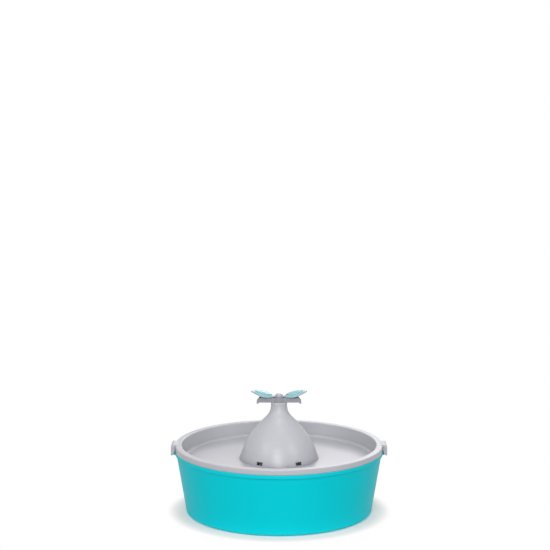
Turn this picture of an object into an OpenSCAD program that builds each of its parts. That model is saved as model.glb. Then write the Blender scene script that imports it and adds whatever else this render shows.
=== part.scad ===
// Pet water fountain: an open bowl, a pump in a foam filter, a filter stack, a drinking dish and a flower topper.
// Millimetres. Z is up, the table is z = 0, the bowl's axis is the Z axis and the front is -Y.

/* [Bowl] */
// Height of the bowl's rim above the table
bowl_h = 69; // [64:1:80]
// Outer radius of the bowl at the table
bowl_base_r = 101.9; // [98:0.1:105]
// Outer radius of the bowl's rim
bowl_rim_r = 113.8; // [111:0.1:117]
// Thickness of the bowl's wall
bowl_wall = 2.4; // [1.8:0.1:3]
// Height of the band round the rim
rim_band_h = 5; // [3:0.5:8]
// Space under the bowl's floor
floor_lift = 1.8; // [1.4:0.1:3]
// Thickness of the bowl's floor
floor_t = 2.4; // [1.8:0.1:4]
// How far the side lugs stand out of the rim
lug_reach = 2.4; // [1.5:0.1:3]
// Width of a side lug
lug_w = 8; // [5:0.5:12]
// Radius of a rubber foot pad
pad_r = 6; // [4:0.5:9]
// Distance of a foot pad's middle from the bowl's skirt
pad_inset = 12.9; // [12:0.1:20]

/* [Cord post] */
// How far the post stands above the bowl's rim
post_rise = 1; // [-4:0.5:4]
// Outer radius of the post
post_r = 8; // [7.6:0.1:9]
// Radius of the post's top collar
post_collar_r = 9; // [8.6:0.1:10]
// Radius of the post's bore
post_bore_r = 6; // [5.4:0.1:6.4]
// Width of the cord's tunnel under the floor
tunnel_w = 6; // [5:0.5:8]

/* [Pump] */
// Length of the pump
pump_len = 44.8; // [42:0.2:48]
// Depth of the pump's case
pump_depth = 27; // [26:0.2:30]
// Height of the pump's case
pump_body_h = 28.9; // [28:0.1:32]
// Length of the intake cover
cover_len = 10.1; // [9:0.1:11]
// Height of the suction feet
foot_h = 3; // [2:0.2:5]
// Radius of a suction foot
foot_r = 6.2; // [5:0.1:6.4]
// Height of the outlet's boss above the case
boss_h = 1.9; // [1:0.1:4]
// Wall of the pump's case
case_wall = 1.5; // [1.2:0.1:2]
// Radius of the impeller
impeller_r = 7.9; // [7:0.1:8.2]
// Number of impeller blades
blade_count = 6; // [4:1:8]
// Radius of the rotor magnet
magnet_r = 5.9; // [5:0.1:6.1]
// Radius of the ceramic shaft
shaft_r = 1; // [0.8:0.1:1.3]

/* [Foam filter] */
// Outer radius of the foam
foam_r = 35.4; // [34:0.1:38]
// Height of the foam
foam_h = 26; // [24:0.5:28]

/* [Filter cup] */
// Gap between the cup's wall and the housing's skirt
cup_gap = 1.2; // [0.6:0.1:2.8]
// Height of the cup
cup_h = 14.5; // [10:0.5:18]
// Wall and floor of the cup
cup_wall = 1.6; // [1.2:0.1:1.8]
// Outer radius of the inlet nozzle
nozzle_r = 4.5; // [4:0.1:5]
// Length of the inlet nozzle
nozzle_len = 7.6; // [5:0.1:8]
// Length of the cup's two legs
leg_len = 5; // [3:0.5:6]

/* [Filter cartridge] */
// Height of the cartridge
cart_h = 31.8; // [30:0.1:34]
// Radius of the cartridge's body
cart_r = 24.2; // [24:0.1:24.8]
// Radius of the cartridge's top collar
cart_top_r = 20.9; // [20:0.1:21]
// Height of the cartridge's flange
flange_h = 5.4; // [4:0.1:7]
// Wall of the cartridge
cart_wall = 1.3; // [1:0.1:1.8]

/* [Filter housing] */
// Gap between the housing's skirt and the cartridge
housing_gap = 3; // [2.8:0.1:3.6]
// Height of the conical skirt
skirt_h = 36.6; // [36:0.1:39]
// Radius of the housing's collar
collar_r = 11.8; // [11.6:0.1:13]
// Height of the housing's collar
collar_h = 12.1; // [10:0.1:16]
// Wall of the housing
housing_wall = 1.4; // [1.2:0.1:1.5]

/* [Dish] */
// Height of the dish's lip above the bowl's rim
lip_h = 6; // [4:0.5:9]
// Depth of the dish below its lip
dish_depth = 19; // [15:0.5:21]
// Gap between the pan and the bowl's wall
pan_gap = 2.5; // [2:0.1:5]
// Wall of the dish
dish_wall = 2.2; // [1.8:0.1:2.6]
// Radius of the dome where it meets the pan
dome_foot_r = 44; // [43:0.5:50]
// Radius of the neck
neck_r = 8.8; // [8.6:0.1:9.4]
// Radius of the neck's bore
neck_bore_r = 7; // [6.9:0.1:7.2]
// Height of the neck's top above the filter housing
neck_rise = 22.6; // [20:0.2:28]
// Width of a side hook
hook_w = 20; // [18:1:30]
// How far a side hook hangs below the lip's top
hook_drop = 11; // [10:0.5:14]
// Number of drain windows round the dome's foot
drain_count = 6; // [4:2:10]

/* [Topper] */
// Outer radius of the stem
stem_r = 6.6; // [6.2:0.1:6.6]
// Wall of the stem
stem_wall = 1.6; // [1.2:0.1:2]
// Height of the tongue cut in the stem's front
slot_h = 22; // [15:1:25]
// Reach of a spout from the axis
spout_reach = 24.4; // [20:0.2:28]
// Reach of a wing's tip from the axis
wing_reach = 30.7; // [27:0.1:34]
// Half width of a wing
wing_half_w = 8.5; // [7:0.5:10]
// Upward tilt of the wings
wing_tilt = 14; // [8:1:20]

/* [Cord] */
// Diameter of the cord
cord_d = 3.3; // [3:0.1:3.4]
// Mean radius of the stored coil
coil_r = 19.2; // [18:0.1:19.2]

/* [Hidden] */
$fn = 96;

// Clearances
fit = 0.3; // between pieces that slide past each other
snug = 0.1; // between pieces of one assembly
run_gap = 0.06; // between the shaft and what turns on it
cut = 1; // how far a cutter passes through

// Bowl
floor_z = floor_lift + floor_t;
bowl_skirt_w = 5;
skirt_gap = 0.5;
pad_ring_r = bowl_base_r - bowl_skirt_w - pad_inset;
tunnel_h = 5.5;
tunnel_wall = 2.2;
rim_inner_r = bowl_rim_r - bowl_wall;
wall_top_r = bowl_rim_r - 1.4;
lug_top = bowl_h - 2.8;
lug_bottom = bowl_h - 7.5;

// Post, at the back, clear of the foam that lifts past it
post_y = foam_r + 0.8 + post_collar_r;
post_h = bowl_h + post_rise;
post_collar_h = 2.5;

// Pump
pump_x0 = -pump_len / 2;
pump_x1 = pump_len / 2;
case_x0 = pump_x0 + cover_len;
body_z = floor_z + foot_h;
body_top = body_z + pump_body_h;
axis_h = 12.8;
axis_z = body_z + axis_h;
outlet_x = case_x0 + 1;
boss_top = body_top + boss_h;
seal_t = 0.5;
socket_r = nozzle_r + seal_t + fit;
boss_r = socket_r + 1;
chamber_r = impeller_r + 0.7;
snout_gap = 3.4;
snout_x0 = pump_x0 + snout_gap;
plate_t = 1.8;
chamber_len = 5.8;
chamber_x1 = case_x0 + chamber_len;
well_r = magnet_r + 0.5;
well_wall = 1;
well_back = 7.9;
well_x1 = pump_x1 - well_back;
rib_w = 1.6;
rib_out = 0.8;
rib_pitch = 3.5;
foot_x = [case_x0 + 2.5, pump_x1 - 7.1];
foot_y = foot_r + 0.7;
gland_h = 17.3;
gland_z = body_z + gland_h;
gland_len = 3.5;
gland_r = 2.6;

// Filter stack, each piece standing on the one below it
foam_z = floor_z + fit;
foam_cave_x = pump_len + 2 * 0.7;
foam_cave_y = pump_depth + 2 * (rib_out + 0.5);
cup_z = boss_top;
cup_floor_z = cup_z + cup_wall;
cart_z = cup_floor_z;
housing_z = cart_z + flange_h;
flange_r = cart_r + 2.8;
cart_neck_r = cart_top_r - 1.1;
cart_lip_h = 4;
skirt_r = cart_r + housing_gap + housing_wall;
cup_r = skirt_r + cup_gap + cup_wall;
cart_neck_z = 0.792 * cart_h;
ring_h = 4.2;
ring_r = skirt_r - 1.1;
shoulder_r = skirt_r - 8.7;
waist_r = stem_r + 1.1 + housing_wall;
waist_h = 1.8;
collar_foot = skirt_h + 3.6 + waist_h;
housing_top = housing_z + collar_foot + collar_h;

// Dish
lip_z = bowl_h + lip_h;
pan_r = rim_inner_r - pan_gap;
dish_floor_z = lip_z - dish_depth;
pan_floor_top = dish_floor_z + dish_wall + 0.2;
neck_top = housing_top + neck_rise;
dome_h = neck_top - dish_floor_z;
sleeve_z = housing_top - 6.6;
hook_inner_r = bowl_rim_r + lug_reach + 0.4;
hook_wall = 1.7;
hook_r = hook_inner_r + hook_wall;
seal_r = neck_r + 0.4;

// Cord
cord_r = cord_d / 2;
loop_r = 7;
riser_x = 2 * loop_r;
riser_z = 46;
bend_r = 10.8;
lie_z = cord_r + 0.05;
gland_x = pump_x1 + gland_len + 0.1;
grommet_flange_r = post_bore_r + 1.3;
grommet_flange_h = 2.5;
grommet_len = 8.5;
loop_z = post_h + grommet_flange_h + 1.5;
hood_in_r = 15;
hood_x = 3;
hood_y = post_y - 1.2;
hood_in_top = loop_z + loop_r + cord_r + 2.2;
hood_edge = 6;

// Coil, behind the bowl on the table
coil_cols = 4;
coil_rows = 3;
coil_w = coil_cols * cord_d;
coil_h = coil_rows * cord_d;
coil_out_r = coil_r + coil_w / 2;
lead_back = 13.4; // how far ahead of the coil's middle the lead reaches it
coil_x = sqrt(pow(coil_out_r + cord_r + 0.12, 2) - lead_back * lead_back);
coil_y = bowl_rim_r + 17.2;
tie_t = 0.9;
tie_w = 3;
tie_angle = -45;
plug_r = 4.2;
plug_x = coil_x + coil_out_r + 4.2;
plug_y = coil_y + 19;
plug_bore_r = 1.25;
plug_len = 15;
plug_pin_r = 2.75;
plug_pin_len = 9.5;

// Topper
stem_bottom = housing_top - 14.9;
cap_r = 4.2;
slot_w = 3.4;
slit = 0.5;
spout_w = 9;
spout_wall = 1.3;
spout_h = 5;
leaf_t = 1.3;
leaf_bend_r = 13; // across a leaf
leaf_bow_r = 42.5; // along a leaf
leaf_half_turn = 50;
leaf_seat = 1.8;
leaf_x = cap_r + 0.2;
inlay_t = 0.8;
hub_r = cap_r + 1.4;
hub_h = 1.2;
hub_top = neck_top + spout_h + hub_h;

function bezier(p, t) =
    pow(1 - t, 3) * p[0] + 3 * pow(1 - t, 2) * t * p[1] + 3 * (1 - t) * t * t * p[2] + t * t * t * p[3];
function slope(p, t) =
    3 * pow(1 - t, 2) * (p[1] - p[0]) + 6 * (1 - t) * t * (p[2] - p[1]) + 3 * t * t * (p[3] - p[2]);
// A curve's points, moved inwards by w at right angles to it
function inset(p, w, steps) = [
    for (i = [0 : steps])
        let (t = i / steps, d = slope(p, t) / norm(slope(p, t)))
        bezier(p, t) + w * [d[1], -d[0]]
];
// Points of an arc in a profile
function arc(c, r, a0, a1, steps = 6) = [
    for (i = [0 : steps])
        let (a = a0 + (a1 - a0) * i / steps)
        c + r * [cos(a), sin(a)]
];

// The outside of the bowl's wall and of the dome, as radius and height
function bowl_r_at(z) = bowl_base_r + (wall_top_r - bowl_base_r) * z / (bowl_h - rim_band_h);
flare = [
    [neck_r, neck_top - 0.056 * dome_h],
    [neck_r + 0.6, neck_top - 0.224 * dome_h],
    [neck_r + 6.4, neck_top - 0.247 * dome_h],
    [neck_r + 12.6, neck_top - 0.361 * dome_h]
];
bulge = [
    [neck_r + 12.6, neck_top - 0.361 * dome_h],
    [neck_r + 20.3, neck_top - 0.498 * dome_h],
    [dome_foot_r - 6, neck_top - 0.635 * dome_h],
    [dome_foot_r, dish_floor_z]
];

module round_rect(w, h, r) {
    square([w - 2 * r, h], center = true);
    square([w, h - 2 * r], center = true);
    for (x = [-1, 1], y = [-1, 1])
        translate([x * (w / 2 - r), y * (h / 2 - r)])
            circle(r);
}

// A profile in Y and Z, extruded along X
module along_x(x, len) {
    translate([x, 0, 0])
        rotate([90, 0, 90])
            linear_extrude(len)
                children();
}

// A profile in X and Z, extruded along Y
module along_y(y, len) {
    translate([0, y + len, 0])
        rotate([90, 0, 0])
            linear_extrude(len)
                children();
}

module rod_x(x, len, r) {
    translate([x, 0, axis_z])
        rotate([0, 90, 0])
            cylinder(h = len, r = r);
}

module tube(r_out, r_in, z, h) {
    translate([0, 0, z])
        difference() {
            cylinder(h = h, r = r_out);
            translate([0, 0, -cut])
                cylinder(h = h + 2 * cut, r = r_in);
        }
}

// ---- Bowl ----

module bowl_shell() {
    band_z = bowl_h - rim_band_h;
    foot_in_r = bowl_base_r - bowl_skirt_w;
    rotate_extrude($fn = 180)
        polygon(concat(
            [[0, floor_lift], [foot_in_r, floor_lift], [foot_in_r, skirt_gap]],
            arc([bowl_r_at(3) - 2.6, 3], 2.5, -90, 0),
            [[wall_top_r, band_z], [bowl_rim_r, band_z + 0.9]],
            arc([bowl_rim_r - 0.9, bowl_h - 0.9], 0.9, 0, 90, 4),
            arc([rim_inner_r + 0.7, bowl_h - 0.7], 0.7, 90, 180, 4),
            arc([bowl_r_at(floor_z + 6) - bowl_wall - 6, floor_z + 6], 6, 0, -90),
            [[0, floor_z]]
        ));
}

module bowl_lug() {
    along_y(-lug_w / 2, lug_w)
        polygon([
            [wall_top_r - 1, lug_top], [bowl_rim_r, lug_top],
            [bowl_rim_r + lug_reach, lug_top - 1], [bowl_rim_r + lug_reach, lug_top - 2.6],
            [wall_top_r - 1, lug_bottom]
        ]);
}

module bowl() {
    color("darkturquoise")
        difference() {
            union() {
                bowl_shell();
                bowl_lug();
                mirror([1, 0, 0])
                    bowl_lug();
                translate([0, post_y, floor_lift])
                    cylinder(h = post_h - floor_lift, r = post_r);
                translate([0, post_y, post_h - post_collar_h])
                    cylinder(h = post_collar_h, r = post_collar_r);
                translate([0, post_y, floor_lift])
                    cylinder(h = tunnel_h + tunnel_wall - floor_lift, r1 = post_r + 3, r2 = post_r);
                translate([-tunnel_w / 2 - tunnel_wall, post_y, floor_lift])
                    cube([tunnel_w + 2 * tunnel_wall, bowl_base_r - bowl_wall - post_y, tunnel_h + tunnel_wall - floor_lift]);
            }
            translate([0, post_y, -cut])
                cylinder(h = post_h + 2 * cut, r = post_bore_r);
            translate([-tunnel_w / 2, post_y, -cut])
                cube([tunnel_w, bowl_rim_r - post_y, tunnel_h + cut]);
        }
}

module foot_pads() {
    color("dimgray")
        for (a = [45 : 90 : 315])
            rotate(a)
                translate([pad_ring_r, 0, 0])
                    cylinder(h = floor_lift, r = pad_r);
}

// ---- Cord ----

module cord_grommet() {
    color("whitesmoke")
        translate([0, post_y, post_h])
            difference() {
                union() {
                    cylinder(h = grommet_flange_h, r = grommet_flange_r);
                    translate([0, 0, -grommet_len])
                        cylinder(h = grommet_len, r1 = post_bore_r - 1.2, r2 = post_bore_r - snug);
                }
                translate([0, 0, -grommet_len - cut])
                    cylinder(h = grommet_len + grommet_flange_h + 2 * cut, r = cord_r + snug);
            }
}

// The cord's line: out of the pump, round the foam, up and over into the post, down it and out at the back.
swing = [
    [gland_x, 0, gland_z], [gland_x + 40, 0, gland_z],
    [riser_x, post_y, riser_z - 16], [riser_x, post_y, riser_z]
];
lead_end = coil_y - lead_back;
lead_points = concat(
    [for (i = [0 : 12]) bezier(swing, i / 12)],
    [for (i = [1 : 4]) [riser_x, post_y, riser_z + (loop_z - riser_z) * i / 4]],
    [for (i = [1 : 7]) [loop_r, post_y, loop_z] + loop_r * [cos(22.5 * i), 0, sin(22.5 * i)]],
    [for (i = [0 : 6]) [0, post_y, loop_z + (lie_z + bend_r - loop_z) * i / 6]],
    [for (i = [1 : 5]) [0, post_y + bend_r, lie_z + bend_r] - bend_r * [0, cos(18 * i), sin(18 * i)]],
    [for (i = [1 : 6]) [0, post_y + bend_r + (lead_end - post_y - bend_r) * i / 6, lie_z]]
);
// The free end leaves the coil at the back and runs into the plug
tail_angle = 66;
tail_r = coil_out_r + cord_r + 0.16;
tail_start = [coil_x + tail_r * cos(tail_angle), coil_y + tail_r * sin(tail_angle), lie_z];
tail_line = [
    tail_start, tail_start + 6 * [sin(tail_angle), -cos(tail_angle), 0],
    [plug_x - 7, plug_y, plug_r], [plug_x - 2, plug_y, plug_r]
];
tail_points = concat([for (i = [0 : 6]) bezier(tail_line, i / 6)], [[plug_x - 0.1, plug_y, plug_r]]);
cord_sides = 8;
function unit(v) = v / norm(v);
function tangent(p, i) = unit(p[min(i + 1, len(p) - 1)] - p[max(i - 1, 0)]);
// A side direction carried along the line without twist
function side(p, i) =
    i == 0
        ? unit(cross(tangent(p, 0), abs(tangent(p, 0)[2]) < 0.9 ? [0, 0, 1] : [1, 0, 0]))
        : let (s = side(p, i - 1), t = tangent(p, i)) unit(s - (s * t) * t);

module swept_tube(p, r) {
    n = len(p);
    rings = [
        for (i = [0 : n - 1])
            let (s = side(p, i), u = cross(tangent(p, i), s))
            for (k = [0 : cord_sides - 1])
                p[i] + r * (cos(360 * k / cord_sides) * s + sin(360 * k / cord_sides) * u)
    ];
    walls = [
        for (i = [0 : n - 2], k = [0 : cord_sides - 1])
            let (a = i * cord_sides + k, b = i * cord_sides + (k + 1) % cord_sides)
            [b, a, a + cord_sides, b + cord_sides]
    ];
    first = [for (k = [0 : cord_sides - 1]) k];
    last = [for (k = [cord_sides - 1 : -1 : 0]) (n - 1) * cord_sides + k];
    polyhedron(rings, concat([first], walls, [last]), convexity = 6);
}

module cord_lead() {
    color("dimgray")
        swept_tube(lead_points, cord_r);
}

module cord_tail() {
    color("dimgray")
        swept_tube(tail_points, cord_r);
}

module cord_coil() {
    color("dimgray")
        translate([coil_x, coil_y, coil_h / 2])
            rotate_extrude()
                translate([coil_r, 0])
                    round_rect(coil_w, coil_h, cord_r);
}

// The tie closes over the coil's turns
module coil_tie() {
    color("black")
        translate([coil_x + coil_r * cos(tie_angle), coil_y + coil_r * sin(tie_angle), 0])
            rotate([90, 0, tie_angle])
                translate([0, 0, -tie_w / 2])
                    linear_extrude(tie_w)
                        difference() {
                            translate([0, (coil_h + tie_t) / 2])
                                round_rect(coil_w + 2 * tie_t + 4 * snug, coil_h + tie_t, cord_r);
                            translate([0, coil_h / 2])
                                round_rect(coil_w + 4 * snug, coil_h + 2 * snug, cord_r);
                            square([coil_w + 4 * snug, coil_h], center = true);
                        }
}

module dc_connector() {
    color("black")
        translate([plug_x, plug_y, plug_r])
            rotate([0, 90, 0])
                difference() {
                    union() {
                        cylinder(h = plug_len, r = plug_r);
                        translate([0, 0, plug_len])
                            cylinder(h = plug_pin_len, r = plug_pin_r);
                    }
                    translate([0, 0, plug_len])
                        cylinder(h = plug_pin_len + cut, r = plug_bore_r);
                }
}

// ---- Pump ----

module body_section(grow = 0, corner = 3) {
    translate([0, body_z + pump_body_h / 2])
        round_rect(pump_depth + 2 * grow, pump_body_h + 2 * grow, corner);
}

module pump_case() {
    case_len = pump_x1 - case_x0;
    snout_z0 = axis_z - chamber_r - 1.6;
    color("dimgray")
        difference() {
            union() {
                difference() {
                    union() {
                        along_x(case_x0, case_len)
                            body_section();
                        for (x = [case_x0 + 6 : rib_pitch : pump_x1 - 3.5])
                            translate([x, -pump_depth / 2 - rib_out, body_z + 2])
                                cube([rib_w, pump_depth + 2 * rib_out, 11.5]);
                    }
                    translate([chamber_x1 + 2, -pump_depth / 2 + case_wall, body_z + case_wall])
                        cube([case_len, pump_depth - 2 * case_wall, pump_body_h - 2 * case_wall]);
                }
                rod_x(chamber_x1, well_x1 + well_wall - chamber_x1, well_r + well_wall);
                translate([snout_x0, -chamber_r - 1.6, snout_z0])
                    cube([case_x0 - snout_x0 + 1, 2 * chamber_r + 3.2, 2 * chamber_r + 3.2]);
                translate([outlet_x, 0, axis_z + chamber_r])
                    cylinder(h = boss_top - axis_z - chamber_r, r = boss_r);
            }
            rod_x(snout_x0 - cut, chamber_x1 - snout_x0 + cut, chamber_r);
            rod_x(chamber_x1 - cut, well_x1 - chamber_x1 + cut, well_r);
            translate([outlet_x, 0, axis_z])
                cylinder(h = pump_body_h, r = nozzle_r - 0.5);
            translate([outlet_x, 0, boss_top - nozzle_len - fit])
                cylinder(h = nozzle_len + fit + cut, r = socket_r);
        }
}

module intake_cover() {
    color("deepskyblue")
        difference() {
            along_x(pump_x0, cover_len - snug)
                body_section(0.3, 4.5);
            along_x(pump_x0 + case_wall, cover_len)
                body_section(-case_wall, 3);
            translate([outlet_x, 0, body_z + pump_body_h / 2])
                cylinder(h = pump_body_h, r = boss_r + snug);
            for (y = [-8 : 4 : 8])
                translate([pump_x0 - cut, y - 1, axis_z - 8])
                    cube([case_wall + 2 * cut, 2, 16]);
        }
}

module chamber_plate() {
    color("gray")
        difference() {
            union() {
                difference() {
                    rod_x(snout_x0, plate_t, chamber_r - snug);
                    rod_x(snout_x0 - cut, plate_t + 2 * cut, 4.4);
                }
                rod_x(snout_x0, plate_t, 2.4);
                for (a = [0, 120, 240])
                    translate([snout_x0, 0, axis_z])
                        rotate([a, 0, 0])
                            translate([0, -0.6, 0])
                                cube([plate_t, 1.2, 5]);
            }
            rod_x(snout_x0 - cut, plate_t + 2 * cut, shaft_r + run_gap);
        }
}

module rear_cap() {
    color("dimgray")
        difference() {
            translate([pump_x1 - case_wall, -pump_depth / 2 + case_wall + snug, body_z + case_wall + snug])
                cube([case_wall, pump_depth - 2 * (case_wall + snug), pump_body_h - 2 * (case_wall + snug)]);
            translate([pump_x1 - case_wall - cut, 0, gland_z])
                rotate([0, 90, 0])
                    cylinder(h = case_wall + 2 * cut, r = cord_r + snug);
        }
}

module suction_feet() {
    color("black")
        for (x = foot_x, y = [-foot_y, foot_y])
            translate([x, y, floor_z])
                rotate_extrude($fn = 48)
                    polygon([
                        [0, foot_h], [2.4, foot_h], [2.4, foot_h - 0.8], [foot_r - 0.8, 0.7], [foot_r, 0],
                        [foot_r - 1.2, 0], [1.6, 0.9], [0, 0.9]
                    ]);
}

module pump_shaft() {
    color("white")
        rod_x(snout_x0 + 0.4, well_x1 - snout_x0 - 0.5, shaft_r);
}

module shaft_bushes() {
    color("black")
        for (x = [[snout_x0 + plate_t + 0.2, 1, 2.2], [well_x1 - 1.6, 1.5, well_r - 0.2]])
            difference() {
                rod_x(x[0], x[1], x[2]);
                rod_x(x[0] - cut, x[1] + 2 * cut, shaft_r + run_gap);
            }
}

core_gap = 5.5;
core_x = chamber_x1 + core_gap;
core_len = 12;
core_half_w = pump_depth / 2 - case_wall - 1;
core_z = body_z + case_wall + 1.8;
core_top = body_top - case_wall - 0.8;
leg_z = axis_z + well_r + well_wall + 0.9;
yoke_h = 2;
window_y = 5.9;
window_w = 4.6;
winding_out = 2.2;
pot_x = core_x + core_len + winding_out + 0.4;
module stator_core() {
    color("silver")
        difference() {
            translate([core_x, -core_half_w, core_z])
                cube([core_len, 2 * core_half_w, core_top - core_z]);
            rod_x(core_x - cut, core_len + 2 * cut, well_r + well_wall + 0.2);
            for (s = [-1, 1])
                translate([core_x - cut, s * window_y - window_w / 2, leg_z])
                    cube([core_len + 2 * cut, window_w, core_top - yoke_h - leg_z]);
        }
}

module stator_coil() {
    out_y = window_y + window_w / 2 - fit;
    in_y = window_y - window_w / 2 + 2 * snug;
    color("peru")
        difference() {
            translate([core_x - winding_out, -out_y, leg_z + fit])
                cube([core_len + 2 * winding_out, 2 * out_y, core_top - yoke_h - 2 * fit - leg_z]);
            translate([core_x - 2 * snug, -in_y, leg_z])
                cube([core_len + 4 * snug, 2 * in_y, core_top - yoke_h - leg_z]);
        }
}

module potting() {
    color("darkslategray")
        difference() {
            translate([pot_x, -pump_depth / 2 + case_wall + 2 * snug, body_z + case_wall + 2 * snug])
                cube([
                    pump_x1 - case_wall - snug - pot_x,
                    pump_depth - 2 * case_wall - 4 * snug,
                    pump_body_h - 2 * case_wall - 4 * snug
                ]);
            rod_x(core_x, well_x1 + well_wall + 2 * snug - core_x, well_r + well_wall + 2 * snug);
        }
}

module strain_relief() {
    color("black")
        translate([pump_x1, 0, gland_z])
            rotate([0, 90, 0])
                difference() {
                    cylinder(h = gland_len, r1 = gland_r, r2 = gland_r - 0.5);
                    translate([0, 0, -cut])
                        cylinder(h = gland_len + 2 * cut, r = cord_r + snug);
                }
}

module rotor_magnet() {
    color("darkgray")
        difference() {
            rod_x(chamber_x1 - 0.7, well_x1 - 2.1 - chamber_x1 + 0.7, magnet_r);
            rod_x(chamber_x1 - 2, well_x1 - chamber_x1 + 2, shaft_r + run_gap);
        }
}

module impeller() {
    x0 = snout_x0 + plate_t + 1.6;
    x1 = chamber_x1 - 0.7;
    color("white")
        difference() {
            union() {
                rod_x(x0, x1 - x0, 3);
                rod_x(x1 - 1, 1, impeller_r);
                for (i = [0 : blade_count - 1])
                    translate([x0 + 0.4, 0, axis_z])
                        rotate([i * 360 / blade_count, 0, 0])
                            translate([0, -0.55, 2])
                                cube([x1 - x0 - 0.9, 1.1, impeller_r - 2.1]);
            }
            rod_x(x0 - cut, x1 - x0 + 2 * cut, shaft_r + run_gap);
        }
}

// ---- Filter stack ----

module foam_filter() {
    edge = 2.5;
    color("gainsboro")
        difference() {
            translate([0, 0, foam_z])
                rotate_extrude()
                    polygon(concat(
                        [[0, 0]],
                        arc([foam_r - edge, edge], edge, -90, 0),
                        arc([foam_r - edge, foam_h - edge], edge, 0, 90),
                        [[0, foam_h]]
                    ));
            translate([0, 0, foam_z - cut])
                linear_extrude(foam_h + 2 * cut)
                    round_rect(foam_cave_x, foam_cave_y, 1.5);
            translate([0, -gland_r - 0.8, foam_z - cut])
                cube([foam_r + cut, 2 * gland_r + 1.6, gland_z + gland_r + 0.4 - foam_z + cut]);
        }
}

module filter_cup() {
    leg_r = cup_r - 5.8;
    color("white")
        difference() {
            union() {
                translate([0, 0, cup_z])
                    rotate_extrude()
                        polygon([
                            [0, 0], [cup_r - 2.6, 0], [cup_r - 0.5, 2.2], [cup_r, cup_h - 2], [cup_r, cup_h],
                            [cup_r - cup_wall + 0.4, cup_h], [cup_r - cup_wall, cup_h - 0.5],
                            [cup_r - cup_wall - 0.4, cup_wall + 1.6], [cup_r - cup_wall - 2, cup_wall], [0, cup_wall]
                        ]);
                for (s = [-1, 1])
                    translate([s * leg_r - 1, -3, cup_z - leg_len])
                        cube([2, 6, leg_len + cup_wall / 2]);
                translate([outlet_x, 0, cup_z - nozzle_len])
                    cylinder(h = nozzle_len + cup_wall / 2, r = nozzle_r);
            }
            translate([outlet_x, 0, cup_z - nozzle_len - cut])
                cylinder(h = nozzle_len + cup_wall + 2 * cut, r = nozzle_r - 1.2);
        }
}

module nozzle_seal() {
    color("gray")
        translate([outlet_x, 0, 0])
            tube(nozzle_r + seal_t, nozzle_r + 0.02, cup_z - nozzle_len + 2, 1.6);
}

cart_outline = [
    [cart_neck_r + 0.1, cart_neck_z], [cart_r - 1.7, 0.638 * cart_h],
    [cart_r, 0.575 * cart_h], [cart_r, 0.481 * cart_h]
];
module cartridge_shell() {
    steps = 6;
    color("white")
        translate([0, 0, cart_z])
            rotate_extrude()
                polygon(concat(
                    [[cart_r - cart_wall, 0], [flange_r - 0.6, 0], [flange_r, 0.8], [flange_r, flange_h]],
                    [[cart_r, flange_h]],
                    [for (i = [steps : -1 : 0]) bezier(cart_outline, i / steps)],
                    [[cart_neck_r, cart_neck_z + 0.5], [cart_neck_r, cart_h - cart_lip_h - 0.5]],
                    [[cart_top_r, cart_h - cart_lip_h], [cart_top_r, cart_h], [cart_top_r - cart_wall, cart_h]],
                    [[cart_top_r - cart_wall, cart_h - 2.5], [cart_neck_r - cart_wall, cart_h - 2.5]],
                    [[cart_neck_r - cart_wall, cart_neck_z]],
                    [for (i = [0 : steps]) bezier(cart_outline, i / steps) - [cart_wall + 0.2, 0.5]],
                    [[cart_r - cart_wall, flange_h]]
                ));
}

module carbon_media() {
    steps = 6;
    gap = cart_wall + 0.4;
    color("darkslategray")
        translate([0, 0, cart_z])
            rotate_extrude()
                polygon(concat(
                    [[0, 3], [cart_r - gap, 3], [cart_r - gap, flange_h]],
                    [for (i = [steps : -1 : 0]) bezier(cart_outline, i / steps) - [gap + 0.2, 0.7]],
                    [[cart_neck_r - gap, cart_neck_z - 1], [cart_neck_r - gap, cart_h - 2.6], [0, cart_h - 2.6]]
                ));
}

module screen(z, r, hole_r, ring_rs) {
    color("gray")
        difference() {
            translate([0, 0, z])
                cylinder(h = 1.2, r = r);
            for (ring = ring_rs, a = [0 : 360 / ring[1] : 359])
                rotate(a)
                    translate([ring[0], 0, z - cut])
                        cylinder(h = 1.2 + 2 * cut, r = hole_r, $fn = 6);
        }
}

module top_screen() {
    screen(cart_z + cart_h - 2.4, cart_top_r - cart_wall - snug, 1.3, [[0, 1], [5, 6], [10, 12], [15, 18]]);
}

module bottom_screen() {
    screen(cart_z + 1.4, cart_r - cart_wall - snug, 1.6, [[0, 1], [6.5, 6], [13, 12], [19.5, 18]]);
}

skirt_line = [
    [skirt_r, ring_h + 0.5], [skirt_r - 2, ring_h + 8.5], [skirt_r - 4, skirt_h - 13.1], [shoulder_r, skirt_h - 3.2]
];
module filter_housing() {
    steps = 8;
    waist_z = skirt_h + 1.8;
    in_r = waist_r - housing_wall;
    color("white")
        translate([0, 0, housing_z])
            rotate_extrude()
                polygon(concat(
                    [[ring_r - housing_wall, 0], [ring_r, 0], [ring_r, ring_h], [skirt_r, ring_h]],
                    [for (i = [0 : steps]) bezier(skirt_line, i / steps)],
                    arc([shoulder_r - 2.8, skirt_h - 2.6], 2.6, 0, 80, 5),
                    [[waist_r, waist_z], [waist_r, waist_z + waist_h], [collar_r, collar_foot]],
                    [[collar_r, collar_foot + collar_h], [collar_r - housing_wall, collar_foot + collar_h]],
                    [[collar_r - housing_wall, collar_foot + 0.4], [in_r, waist_z + waist_h]],
                    [[in_r, waist_z - 1.2], [shoulder_r - 4.4, skirt_h - 1.6], [shoulder_r - 2.2, skirt_h - 3.4]],
                    [for (i = [steps : -1 : 0]) inset(skirt_line, -housing_wall, steps)[i]],
                    [[ring_r - housing_wall, ring_h + 0.3]]
                ));
}

module collar_seal() {
    color("gray")
        tube(collar_r - housing_wall - 0.05, seal_r, housing_top - 4.6, 3.6);
}

// ---- Dish ----

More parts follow.
